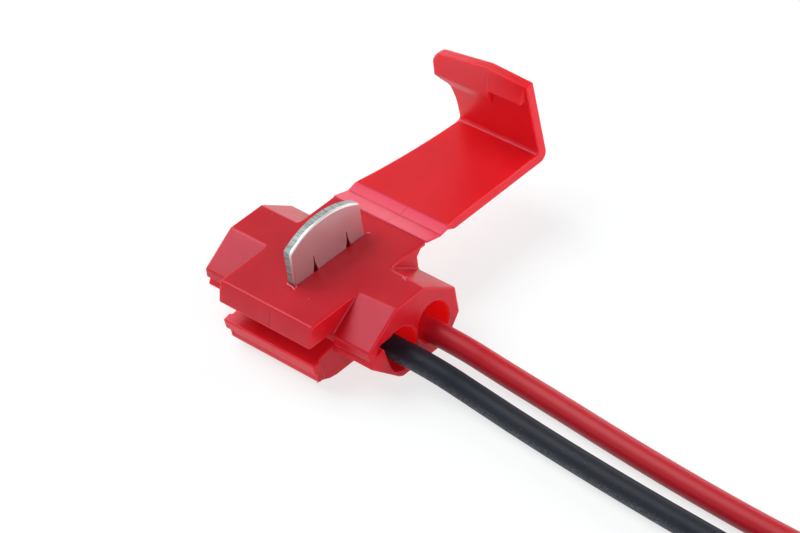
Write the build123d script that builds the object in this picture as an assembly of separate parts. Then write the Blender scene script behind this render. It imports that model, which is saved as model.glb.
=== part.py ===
from build123d import *
import os
from math import cos, hypot, radians, sqrt, tan

# Wire tap splice connector: a folding polypropylene moulding with one slotted contact blade.
# The origin is on the underside, below the middle of the blade slot. All sizes are in millimetres.
# +X is the side that both wires leave by, +Y is the side of the hinged cover, +Z is up.

# Housing, as seen from its open end
housing_height = 7.55
tunnel_half_length = 11.0
near_top_y = -2.0
far_top_y = 2.28
near_side_y = -5.95
far_side_y = 5.95
shoulder_drop = 2.5
heel_height = 2.2
far_foot_y = 3.75
mouth_inset = 0.3
mouth_lean = 3.0

# Bores for the two wires
bore_radius = 2.05
near_bore_y = -1.95
far_bore_y = 2.5
bore_height = 3.25
far_bore_stop_x = -8.6

# Slab across the tunnel
slab_half_width = 6.02
slab_front_y = -8.23
slab_rear_y = 7.2
slab_thickness = 2.23
slab_lean = 0.69
slab_band_height = 0.9
slab_band_lean = 0.4
slab_rear_thickness = 0.45
slab_rear_fillet = 0.6
edge_round = 0.2

# Split between body and jaw
split_y = -0.1
split_gap = 0.06
skirt_depth = 0.95

# Jaw, with its web under the partition
jaw_half_width = 6.0
jaw_lap_y = -4.37
jaw_lap_depth = 0.99
jaw_chin = (-2.72, 0.65)
jaw_bore_radius = 1.6
jaw_bore_y = -1.7
jaw_bore_height = 2.62
jaw_side_inset = 0.3
jaw_front_y = -8.2
jaw_front_drop = 0.45
jaw_toe_y = -8.2
jaw_toe_height = 2.25
jaw_flange_height = 1.2
jaw_flange_step = 0.35
jaw_flange_reach = 0.75
jaw_plate_depth = 0.95
jaw_open_angle = 9.5
jaw_pivot_height = 0.18
jaw_belly_y = -6.6
jaw_belly_rise = 0.16
jaw_web_end_y = -1.1
jaw_foot_y = -2.3

# Contact blade and its slot
blade_half_width = 4.68
blade_thickness = 1.0
blade_end_rise = 3.65
blade_crown = 1.4
blade_depth = 1.9
blade_travel = 4.65
blade_corner = 0.3
blade_toe = 1.2
slit_mouth = 1.4
slit_width_at_top_face = 0.62
slit_width = 0.16
slit_taper_rise = 0.95
slit_rise = 1.75
slot_side_gap = 0.03
slot_end_gap = 0.05
slot_floor_gap = 0.25
jaw_slot_end_gap = 0.3

# Folding cover
cover_pivot_y = 7.3
strap_start_gap = 0.05
strap_left_x = -6.15
strap_right_x = 6.0
strap_thickness = 0.36
groove_y = 9.28
groove_drop = 0.6
groove_web = 0.24
strap_end_y = 10.4
strap_end_drop = 0.3
panel_drop = 0.35
panel_thickness = 1.15
panel_right_x = 5.75
panel_left_x = -4.62
panel_waist_y = 16.5
panel_waist_x = -5.2
wall_inner_y = 24.0
wall_thickness = 1.1
wall_lean = 6.0
fold_round = 0.45
fold_outer_round = 1.0
wall_peak_rise = 8.5
wall_peak_x = 0.75
wall_right_rise = 8.15
head_left_x = -6.6
head_left_rise = 7.45
head_corner_width = 0.55
head_corner_height = 0.65
head_foot_rise = 4.5
neck_foot_rise = 1.0
neck_middle = (-4.72, 2.5)
neck_head = (-5.2, 3.95)
outer_fold_share = 1.08
lip_tip_y = 22.63
lip_tip_rise = 6.0
lip_top_rise = 8.0
lip_right_x = 5.25
lip_root = 0.3
swell_rise = 4.9
swell_depth = 0.4
swell_foot_rise = 3.7
spare = 1.0

# Wires: insulation, strands and stripped ends
wire_diameter = 2.35
core_diameter = 1.25
stripped_length = 5.0
wire_stop_x = -7.4
wire_lift = 0.04
red_exit = (2.09, 2.49)
black_exit = (-1.78, 2.5)
exit_run_end = 14.6
red_floor_points = [(26.5, 2.0), (34.9, 1.25), (44.0, 0.66), (53.5, 0.35), (64.5, 0.5)]
black_floor_points = [(26.5, -2.1), (34.9, -2.73), (44.0, -3.2), (53.5, -3.5), (64.0, -3.4)]
red_drop_point = (19.8, 2.3, 1.5)
black_drop_point = (19.8, -1.62, 1.5)
arc_share = 0.45

# Values that follow from the sizes above
top = housing_height
part_height = top - shoulder_drop
far_foot = (far_foot_y, 0)
wire_radius = wire_diameter / 2
floor_height = wire_radius + wire_lift
jaw_top = part_height - split_gap
lap_radius = hypot(jaw_lap_y - split_y, jaw_top - jaw_pivot_height)


def section(points):
    """A face in the YZ plane from (y, z) points."""
    return make_face(Plane.YZ * Polyline(*points, close=True))


def bar(face, x_min, x_max):
    """The solid that a YZ face sweeps from x_min to x_max."""
    return extrude(Pos(x_min, 0, 0) * face, amount=x_max - x_min, dir=(1, 0, 0))


def rod(radius, y, z, x_min, x_max):
    """A round bar along X."""
    return bar(Plane.YZ * Pos(y, z) * Circle(radius), x_min, x_max)


def along_x(edge):
    """Whether an edge is straight and parallel to X."""
    return edge.geom_type == GeomType.LINE and abs(edge.tangent_at(0).X) > 0.999


def lap_point(radius, height):
    """The point at a height on the arc that the lapping wall of the jaw swings on."""
    return (split_y - sqrt(radius**2 - (height - jaw_pivot_height) ** 2), height)


def lap_arc(radius, low, high):
    """The part of that arc between two heights, upwards."""
    return ThreePointArc(*[lap_point(radius, height) for height in (low, (low + high) / 2, high)])


def body_points(near_top, far_top):
    """The outline of the body at the tunnel, on its own side of the split."""
    return [
        (near_side_y, part_height),
        (near_top, top),
        (far_top, top),
        (far_side_y, part_height),
        (far_side_y, heel_height),
        far_foot,
        (split_y, 0),
        (split_y, bore_height),
        (near_bore_y, bore_height),
        (near_bore_y, part_height),
    ]


def mouth_trim():
    """What lies past the leaning face of the open end."""
    lean = Plane(origin=(tunnel_half_length, 0, 0), x_dir=(0, 1, 0), z_dir=(1, 0, tan(radians(mouth_lean))))
    return extrude(lean * Rectangle(6 * housing_height, 6 * housing_height), amount=housing_height)


def make_body():
    """Tunnel, slab and bores of the upper moulding."""
    straight = section(body_points(near_top_y, far_top_y))
    tapered = section(body_points(near_top_y + mouth_inset, far_top_y - mouth_inset))
    body = bar(straight, -tunnel_half_length, slab_half_width)
    body += loft([Pos(slab_half_width, 0, 0) * straight, Pos(tunnel_half_length, 0, 0) * tapered], ruled=True)
    slab_bottom = top - slab_thickness
    slab_rear_bottom = top - slab_rear_thickness
    slab = section(
        [
            (slab_front_y, top),
            (slab_rear_y, top),
            (slab_rear_y, slab_rear_bottom),
            (far_side_y + slab_rear_fillet, slab_rear_bottom),
            (far_side_y, slab_rear_bottom - slab_rear_fillet),
            (far_side_y, part_height),
            (near_bore_y, part_height),
            (near_side_y, part_height),
            (near_side_y, slab_bottom),
            (slab_front_y - slab_lean, slab_bottom),
            (slab_front_y - slab_band_lean, top - slab_band_height),
        ]
    )
    plate = bar(slab, -slab_half_width, slab_half_width)
    front_edges = plate.edges().filter_by(lambda e: not along_x(e) and e.center().Y < slab_front_y)
    plate = fillet(front_edges, edge_round)
    body += plate
    skirt_foot = part_height - skirt_depth
    skirt_radius = lap_radius + split_gap
    sides = Polyline(
        lap_point(skirt_radius, part_height),
        (near_side_y, part_height),
        (near_side_y, skirt_foot),
        lap_point(skirt_radius, skirt_foot),
    )
    skirt = make_face(Plane.YZ * (sides + lap_arc(skirt_radius, skirt_foot, part_height)))
    body += bar(skirt, -tunnel_half_length, -slab_half_width)
    body += bar(skirt, slab_half_width, tunnel_half_length)
    body -= rod(bore_radius, near_bore_y, bore_height, -2 * tunnel_half_length, 2 * tunnel_half_length)
    body -= rod(bore_radius, far_bore_y, bore_height, far_bore_stop_x, 2 * tunnel_half_length)
    slot_floor = top - blade_depth - blade_travel - slot_floor_gap
    slot = Box(
        blade_thickness + 2 * slot_side_gap,
        2 * (blade_half_width + slot_end_gap),
        top - slot_floor,
        align=(Align.CENTER, Align.CENTER, Align.MIN),
    )
    body -= Pos(0, 0, slot_floor) * slot
    return body - mouth_trim()


def jaw_sole(y):
    """The closed height of a jaw point that lies on the base plane when the jaw is open."""
    angle = radians(jaw_open_angle)
    return jaw_pivot_height + (split_y - y) * tan(angle) - jaw_pivot_height / cos(angle)


def make_jaw():
    """Lower half of the run bore and the flanged front, drawn closed and then opened."""
    seam_y = split_y - split_gap
    lap_foot = jaw_top - jaw_lap_depth
    sides = Polyline(
        lap_point(lap_radius, lap_foot),
        jaw_chin,
        (jaw_foot_y, jaw_sole(jaw_foot_y)),
        (jaw_web_end_y, jaw_sole(jaw_web_end_y)),
        (seam_y - jaw_pivot_height, jaw_sole(seam_y - jaw_pivot_height) + split_gap),
        (seam_y, jaw_pivot_height),
        (seam_y, bore_height),
        (near_bore_y, bore_height),
        (near_bore_y, jaw_top),
        lap_point(lap_radius, jaw_top),
    )
    tunnel = make_face(Plane.YZ * (sides + lap_arc(lap_radius, lap_foot, jaw_top)))
    jaw = bar(tunnel, -tunnel_half_length, tunnel_half_length)
    front_top = jaw_top - jaw_front_drop
    heel = (jaw_foot_y, jaw_sole(jaw_foot_y))
    belly = (jaw_belly_y, jaw_sole(jaw_belly_y) + jaw_belly_rise)
    block = section(
        [
            (near_bore_y, front_top),
            (jaw_front_y + jaw_flange_step, front_top),
            (jaw_toe_y + jaw_flange_step / 4, jaw_toe_height),
            belly,
            (near_side_y + jaw_belly_rise, jaw_sole(near_side_y + jaw_belly_rise)),
            heel,
            (near_bore_y, bore_height),
        ]
    )
    jaw += bar(block, jaw_side_inset - jaw_half_width, jaw_half_width - jaw_side_inset)
    flange_foot = front_top - jaw_flange_height
    front = section(
        [
            (jaw_front_y + jaw_plate_depth, front_top),
            (jaw_front_y, front_top),
            (jaw_front_y - edge_round / 4, flange_foot),
            (jaw_front_y + jaw_flange_step / 2, flange_foot - jaw_flange_step / 2),
            (jaw_toe_y, jaw_toe_height + edge_round),
            (jaw_toe_y + edge_round, jaw_toe_height),
            (jaw_front_y + jaw_plate_depth, jaw_toe_height),
        ]
    )
    plate = bar(front, jaw_flange_reach - jaw_half_width, jaw_half_width)
    flange = section(
        [
            (jaw_front_y + jaw_plate_depth, front_top),
            (jaw_front_y, front_top),
            (jaw_front_y - edge_round / 4, flange_foot),
            (jaw_front_y + jaw_plate_depth, flange_foot),
        ]
    )
    plate += bar(flange, -jaw_half_width, jaw_flange_reach - jaw_half_width)
    jaw += plate
    jaw -= rod(jaw_bore_radius, jaw_bore_y, jaw_bore_height, -2 * tunnel_half_length, 2 * tunnel_half_length)
    trough = Box(
        4 * tunnel_half_length,
        2 * jaw_bore_radius,
        part_height,
        align=(Align.CENTER, Align.CENTER, Align.MIN),
    )
    jaw -= Pos(0, jaw_bore_y, jaw_bore_height) * trough
    slot_floor = top - blade_depth - blade_travel - slot_floor_gap
    slot_end = -blade_half_width - jaw_slot_end_gap
    slot = section(
        [
            (slot_end, top),
            (slot_end, slot_floor + blade_toe),
            (slot_end + blade_toe, slot_floor),
            (-slot_end, slot_floor),
            (-slot_end, top),
        ]
    )
    slot_half = blade_thickness / 2 + slot_side_gap
    jaw -= bar(slot, -slot_half, slot_half)
    jaw -= mouth_trim()
    pivot = Axis((0, split_y, jaw_pivot_height), (1, 0, 0))
    return jaw.rotate(pivot, jaw_open_angle)


def half_slit(y):
    """One slit's outline, up its front side and down its rear side."""
    foot = top - blade_depth
    knee = top + slit_taper_rise
    crest = top + slit_rise
    front = [
        (y - slit_mouth / 2, foot),
        (y - slit_width_at_top_face / 2, top),
        (y - slit_width / 2, knee),
        (y - slit_width / 4, crest),
    ]
    rear = [(2 * y - py, pz) for py, pz in reversed(front)]
    return front + rear


def make_blade():
    """Contact plate with a crowned back and a tapered slit over each bore."""
    foot = top - blade_depth
    shoulder = top + blade_end_rise
    back = ThreePointArc(
        (-blade_half_width, shoulder), (0, shoulder + blade_crown), (blade_half_width, shoulder)
    )
    lower = Polyline(
        (blade_half_width, shoulder),
        (blade_half_width, foot + blade_toe),
        (blade_half_width - blade_toe, foot),
        (blade_toe - blade_half_width, foot),
        (-blade_half_width, foot + blade_toe),
        (-blade_half_width, shoulder),
    )
    outline = make_face(Plane.YZ * (back + lower))
    corners = outline.vertices().filter_by(lambda v: abs(v.Z - shoulder) < edge_round)
    outline = fillet(corners, blade_corner)
    for y in (near_bore_y, far_bore_y):
        points = half_slit(y)
        dip = [(points[-1][0], foot - blade_toe), (points[0][0], foot - blade_toe)]
        outline -= section(points + dip)
    return bar(outline, -blade_thickness / 2, blade_thickness / 2)


def wall_y(rise):
    """The inner face of the leaning end wall at a height above the top face."""
    return wall_inner_y - (rise + panel_drop) * tan(radians(wall_lean))


def cover_strip(panel_top, panel_bottom, wall_top):
    """The bent sheet of strap, panel and wall as one YZ profile."""
    strap_start = cover_pivot_y + strap_start_gap
    wall_step = wall_thickness / cos(radians(wall_lean))
    strip = section(
        [
            (strap_start, top - strap_thickness / 8),
            (groove_y, top - groove_drop),
            (strap_end_y, top - strap_end_drop),
            (strap_end_y + strap_thickness, panel_top),
            (wall_inner_y, panel_top),
            (wall_y(wall_top), top + wall_top),
            (wall_y(wall_top) + wall_step, top + wall_top),
            (wall_inner_y + wall_step * outer_fold_share, panel_bottom),
            (strap_end_y + panel_thickness, panel_bottom),
            (strap_end_y, top - strap_end_drop - 1.5 * strap_thickness),
            (groove_y, top - groove_drop - groove_web),
            (strap_start, top - strap_thickness),
        ]
    )
    inner_corner = strip.vertices().sort_by_distance((0, wall_inner_y, panel_top))[:1]
    strip = fillet(inner_corner, fold_round)
    outer_corner = strip.vertices().sort_by_distance((0, wall_inner_y + wall_step, panel_bottom))[:1]
    return fillet(outer_corner, fold_outer_round)


def cover_plan():
    """The outline of strap and panel from above."""
    strap_foot = cover_pivot_y - spare
    far_edge = wall_inner_y + 4 * spare
    waist_start = (panel_left_x, wall_inner_y - spare)
    waist_end = (strap_left_x, strap_end_y + strap_thickness)
    sides = Polyline(
        waist_end,
        (strap_left_x, strap_foot),
        (strap_right_x, strap_foot),
        (strap_right_x, groove_y),
        (panel_right_x, strap_end_y + panel_thickness),
        (panel_right_x, far_edge),
        (panel_left_x, far_edge),
        waist_start,
    )
    return make_face(sides + ThreePointArc(waist_start, (panel_waist_x, panel_waist_y), waist_end))


def cover_front(panel_bottom):
    """The outline of the end wall and its head, looking along +Y."""
    neck_foot = (panel_left_x, top + neck_foot_rise)
    neck_top = (neck_head[0], top + neck_head[1])
    neck_side = (neck_middle[0], top + neck_middle[1])
    sides = Polyline(
        neck_foot,
        (panel_left_x, panel_bottom - spare),
        (panel_right_x, panel_bottom - spare),
        (panel_right_x, top + wall_right_rise),
        (wall_peak_x, top + wall_peak_rise),
        (head_left_x + head_corner_width, top + head_left_rise),
        (head_left_x, top + head_left_rise - head_corner_height),
        (head_left_x, top + head_foot_rise + edge_round),
        (head_left_x + edge_round, top + head_foot_rise),
        neck_top,
    )
    return make_face(Plane.XZ * (sides + ThreePointArc(neck_top, neck_side, neck_foot)))


def make_cover():
    """Strap, panel, end wall and hooked head, lying open."""
    panel_top = top - panel_drop
    panel_bottom = panel_top - panel_thickness
    wall_top = wall_peak_rise + spare
    width = strap_right_x - head_left_x + 2 * spare
    sheet = bar(cover_strip(panel_top, panel_bottom, wall_top), head_left_x - spare, strap_right_x + spare)
    panel_zone = extrude(Pos(0, 0, panel_bottom - spare) * cover_plan(), amount=panel_thickness + 2 * spare)
    wall_zone = extrude(Pos(0, wall_inner_y - 2 * spare, 0) * cover_front(panel_bottom), amount=-6 * spare)
    below = Box(2 * width, 3 * wall_inner_y, wall_inner_y, align=(Align.CENTER, Align.CENTER, Align.MAX))
    keep = (panel_zone & Pos(0, 0, top + neck_foot_rise / 2) * below) + wall_zone
    lip_face = section(
        [
            (lip_tip_y, top + lip_tip_rise),
            (wall_y(lip_tip_rise) + lip_root, top + lip_tip_rise + lip_root),
            (wall_y(lip_top_rise) + lip_root, top + lip_top_rise),
            (wall_y(lip_top_rise), top + lip_top_rise),
        ]
    )
    swell_face = section(
        [
            (wall_y(lip_top_rise), top + lip_top_rise),
            (wall_y(swell_rise) - swell_depth, top + swell_rise),
            (wall_y(swell_foot_rise), top + swell_foot_rise),
            (wall_y(swell_foot_rise) + lip_root, top + swell_foot_rise),
            (wall_y(lip_top_rise) + lip_root, top + lip_top_rise),
        ]
    )
    head = bar(lip_face, wall_peak_x, lip_right_x)
    head += bar(swell_face, head_left_x - spare, wall_peak_x)
    return (sheet + head) & keep


def wire_path(points):
    """Straight runs joined by arcs that each take the same share of the shorter run."""
    radii = []
    for before, corner, after in zip(points, points[1:], points[2:]):
        run_in = Vector(*corner) - Vector(*before)
        run_out = Vector(*after) - Vector(*corner)
        turn = radians(run_in.get_angle(run_out))
        radii.append(arc_share * min(run_in.length, run_out.length) / tan(turn / 2))
    print("arc radii", [round(r, 1) for r in radii])
    return FilletPolyline(*points, radius=radii)


def make_wire(name, exit_point, drop_point, floor_points):
    """The pierced end, the free run and the stripped strands of one wire."""
    y, z = exit_point
    solids = {}
    mouth = tunnel_half_length
    sleeve = rod(wire_radius, y, z, wire_stop_x, mouth)
    core = rod(core_diameter / 2, y, z, wire_stop_x, mouth)
    solids[name + "_wire_end"] = sleeve - core
    solids[name + "_core_end"] = core
    route = [(mouth, y, z), (exit_run_end, y, z), drop_point]
    route += [(fx, fy, floor_height) for fx, fy in floor_points]
    path = wire_path(route)
    start = Plane(origin=path @ 0, z_dir=path % 0)
    run = sweep(start * Circle(wire_radius), path=path)
    expected = Circle(wire_radius).area * path.length
    print(name, "wire run", round(path.length, 2), "volume ratio", round(run.volume / expected, 4))
    solids[name + "_wire"] = run
    end = Plane(origin=path @ 1, z_dir=path % 1)
    solids[name + "_wire_strands"] = extrude(end * Circle(core_diameter / 2), amount=stripped_length)
    return solids


nodes = {
    "housing_body": make_body(),
    "clamp_jaw": make_jaw(),
    "folding_cover": make_cover(),
    "contact_blade": make_blade(),
}
nodes.update(make_wire("red", red_exit, red_drop_point, red_floor_points))
nodes.update(make_wire("black", black_exit, black_drop_point, black_floor_points))

os.makedirs("parts", exist_ok=True)
for node_name, solid in nodes.items():
    export_step(solid, f"parts/{node_name}.step")
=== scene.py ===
import logging
import math
import random
from dataclasses import dataclass
from enum import Enum

import bmesh
import bpy
from mathutils import Matrix, Vector


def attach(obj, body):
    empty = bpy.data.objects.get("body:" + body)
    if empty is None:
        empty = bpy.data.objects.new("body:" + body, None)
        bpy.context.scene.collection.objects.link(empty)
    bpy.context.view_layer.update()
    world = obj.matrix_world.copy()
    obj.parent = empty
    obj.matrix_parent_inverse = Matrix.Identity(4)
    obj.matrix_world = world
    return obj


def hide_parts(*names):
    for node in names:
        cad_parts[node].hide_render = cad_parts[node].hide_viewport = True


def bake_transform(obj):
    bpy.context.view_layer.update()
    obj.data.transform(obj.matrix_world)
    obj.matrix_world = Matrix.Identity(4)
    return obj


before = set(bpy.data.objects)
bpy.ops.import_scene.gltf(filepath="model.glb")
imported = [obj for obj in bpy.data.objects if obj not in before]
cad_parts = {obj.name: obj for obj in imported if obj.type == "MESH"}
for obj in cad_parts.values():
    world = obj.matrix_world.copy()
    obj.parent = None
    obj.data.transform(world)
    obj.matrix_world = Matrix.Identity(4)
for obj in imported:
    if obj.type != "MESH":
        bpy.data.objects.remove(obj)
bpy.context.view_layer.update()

LOG = logging.getLogger("tap_connector")
MM = 0.001
BLACK = (0, 0, 0, 1)
WHITE = (1, 1, 1, 1)

# The Mix node's sockets for colours.
MIX_A, MIX_B, MIX_RESULT = 6, 7, 2
# Vertices of a solid that are nearer to each other than this are one.
MERGE_MM = 0.002
# How far out a bore's painted glow ends, in radii of the bore.
BORE_FADE = 1.33

Pair = tuple[float, float]
Triple = tuple[float, float, float]


class Kind(Enum):
    """The kinds of socket that the node groups have."""

    NUMBER = "NodeSocketFloat"
    PLACE = "NodeSocketVector"
    COLOR = "NodeSocketColor"
    COUNT = "NodeSocketInt"
    SHAPE = "NodeSocketGeometry"
    MATERIAL = "NodeSocketMaterial"


class Fade(Enum):
    """How a ramp runs between its ends."""

    STRAIGHT = "LINEAR"
    SOFT = "SMOOTHSTEP"


class Feed(Enum):
    """Which shader socket each output of a pattern feeds."""

    COLOR = ("Color", "Base Color")
    ROUGHNESS = ("Roughness", "Roughness")
    METALLIC = ("Metallic", "Metallic")
    LIGHT = ("Light", "Emission Color")


# Patterns


@dataclass(frozen=True)
class Band:
    """A stripe across a part: its middle, half of its width and its soft edge."""

    centre_mm: float
    half_mm: float
    soft_mm: float


@dataclass(frozen=True)
class Grain:
    """Fine relief: noise in waves per metre, and its share of the height."""

    scale: float
    detail: float
    share: float


@dataclass(frozen=True)
class Mottle:
    """Uneven patches: noise in waves per metre, the span of it that shows, and how strongly."""

    scale: float
    detail: float
    low: float
    high: float
    faint: float = 0.0
    strong: float = 1.0


# Nodes


def socket_kind(value: object) -> Kind:
    """The kind of socket that takes a value.

    Args:
        value: a number, a place of three numbers or a colour of four.

    Returns:
        The kind.
    """
    if isinstance(value, tuple):
        return Kind.COLOR if len(value) == 4 else Kind.PLACE
    return Kind.NUMBER


def new_group(
    name: str, inputs: dict[str, object], outputs: dict[str, Kind]
) -> bpy.types.NodeTree:
    """Starts a shader node group with named sockets.

    Args:
        name: the group's name.
        inputs: socket name to its default value.
        outputs: socket name to its kind.

    Returns:
        The group with its input and output nodes, and nothing between them.
    """
    tree = bpy.data.node_groups.new(name, "ShaderNodeTree")
    for label, value in inputs.items():
        kind = socket_kind(value).value
        socket = tree.interface.new_socket(label, in_out="INPUT", socket_type=kind)
        socket.default_value = value
    for label, kind in outputs.items():
        tree.interface.new_socket(label, in_out="OUTPUT", socket_type=kind.value)
    tree.nodes.new("NodeGroupInput")
    tree.nodes.new("NodeGroupOutput")
    return tree


class NodeGraph:
    """Adds and joins nodes in one tree."""

    def __init__(self, tree: bpy.types.NodeTree) -> None:
        """Takes the tree to add to."""
        self.tree = tree

    def add(self, kind: str, **settings: object) -> bpy.types.Node:
        """Adds a node and sets its properties.

        Args:
            kind: the node type, without its prefix where that is ShaderNode.
            settings: properties of the node by name.

        Returns:
            The new node.
        """
        prefix = "" if kind.startswith("GeometryNode") else "ShaderNode"
        node = self.tree.nodes.new(prefix + kind)
        for key, value in settings.items():
            setattr(node, key, value)
        return node

    def link(self, source: object, target: bpy.types.NodeSocket) -> None:
        """Joins a socket to another, or sets a constant.

        Args:
            source: the socket or value that is read.
            target: the input socket that takes it.
        """
        if isinstance(source, bpy.types.NodeSocket):
            self.tree.links.new(source, target)
        else:
            target.default_value = source

    def math(self, operation: str, *values: object, clamp: bool = False) -> bpy.types.NodeSocket:
        """A math node's result.

        Args:
            operation: the operation, such as MULTIPLY.
            values: sockets or numbers, in order.
            clamp: whether the result is held between 0 and 1.

        Returns:
            The output socket.
        """
        node = self.add("Math", operation=operation, use_clamp=clamp)
        for value, socket in zip(values, node.inputs):
            self.link(value, socket)
        return node.outputs[0]

    def times(self, *values: object) -> bpy.types.NodeSocket:
        """The product of two or more values.

        Args:
            values: sockets or numbers.

        Returns:
            The output socket.
        """
        product = values[0]
        for value in values[1:]:
            product = self.math("MULTIPLY", product, value)
        return product

    def axes(self, vector: bpy.types.NodeSocket) -> bpy.types.NodeOutputs:
        """Splits a vector.

        Args:
            vector: the vector's socket.

        Returns:
            The outputs X, Y and Z.
        """
        node = self.add("SeparateXYZ")
        self.link(vector, node.inputs[0])
        return node.outputs

    def ramp(
        self, value: object, low: object, high: object, to_low: float, to_high: float,
        fade: Fade = Fade.STRAIGHT,
    ) -> bpy.types.NodeSocket:
        """Maps a value from one span to another, held at its ends.

        Args:
            value: the value.
            low: where the span starts.
            high: where it ends.
            to_low: the result at the start.
            to_high: the result at the end.
            fade: how it runs between them.

        Returns:
            The output socket.
        """
        node = self.add("MapRange", interpolation_type=fade.value)
        labels = ("Value", "From Min", "From Max", "To Min", "To Max")
        for label, end in zip(labels, (value, low, high, to_low, to_high)):
            self.link(end, node.inputs[label])
        return node.outputs["Result"]

    def band(self, value: bpy.types.NodeSocket, stripe: Band) -> bpy.types.NodeSocket:
        """A mask of 1 in a stripe, and 0 past its soft edge.

        Args:
            value: the coordinate across the stripe, in metres.
            stripe: the stripe.

        Returns:
            The mask.
        """
        half = stripe.half_mm * MM
        away = self.math("ABSOLUTE", self.math("SUBTRACT", value, stripe.centre_mm * MM))
        return self.ramp(away, half, half + stripe.soft_mm * MM, 1.0, 0.0, Fade.SOFT)

    def noise(
        self, place: bpy.types.NodeSocket, scale: float, detail: float
    ) -> bpy.types.NodeSocket:
        """Noise between 0 and 1.

        Args:
            place: the coordinates.
            scale: its waves per metre.
            detail: how many finer layers it has.

        Returns:
            The output socket.
        """
        node = self.add("TexNoise")
        for label, value in {"Vector": place, "Scale": scale, "Detail": detail}.items():
            self.link(value, node.inputs[label])
        return node.outputs["Fac"]

    def grain(self, place: bpy.types.NodeSocket, grain: Grain) -> bpy.types.NodeSocket:
        """The height of a fine relief."""
        return self.times(self.noise(place, grain.scale, grain.detail), grain.share)

    def mottle(self, place: bpy.types.NodeSocket, spots: Mottle) -> bpy.types.NodeSocket:
        """A mask of uneven patches."""
        noise = self.noise(place, spots.scale, spots.detail)
        return self.ramp(noise, spots.low, spots.high, spots.faint, spots.strong)

    def stretched(self, place: bpy.types.NodeSocket, scale: Triple) -> bpy.types.NodeSocket:
        """Coordinates that draw a pattern out along the axes with a small scale.

        Args:
            place: the coordinates.
            scale: the scale on each axis.

        Returns:
            The output socket.
        """
        node = self.add("Mapping")
        self.link(place, node.inputs["Vector"])
        self.link(scale, node.inputs["Scale"])
        return node.outputs[0]

    def inside(
        self, place: bpy.types.NodeSocket, axis: bpy.types.NodeSocket, radius: bpy.types.NodeSocket
    ) -> bpy.types.NodeSocket:
        """A mask of 1 nearer to an axis than the radius, falling to 0 a third further out.

        Args:
            place: the coordinates across the axis.
            axis: the place of the axis.
            radius: the radius, in metres.

        Returns:
            The mask.
        """
        away = self.add("VectorMath", operation="DISTANCE")
        self.link(place, away.inputs[0])
        self.link(axis, away.inputs[1])
        return self.ramp(away.outputs["Value"], radius, self.times(radius, BORE_FADE), 1.0, 0.0)

    def mix(self, mask: object, a: object, b: object, blend: str = "MIX") -> bpy.types.NodeSocket:
        """A colour that goes from a to b with the mask.

        Args:
            mask: how much of b shows.
            a: the first colour.
            b: the second colour.
            blend: how b is laid over a.

        Returns:
            The colour.
        """
        node = self.add("Mix", data_type="RGBA", blend_type=blend)
        self.link(mask, node.inputs["Factor"])
        self.link(a, node.inputs[MIX_A])
        self.link(b, node.inputs[MIX_B])
        return node.outputs[MIX_RESULT]


# Shader node groups


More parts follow.
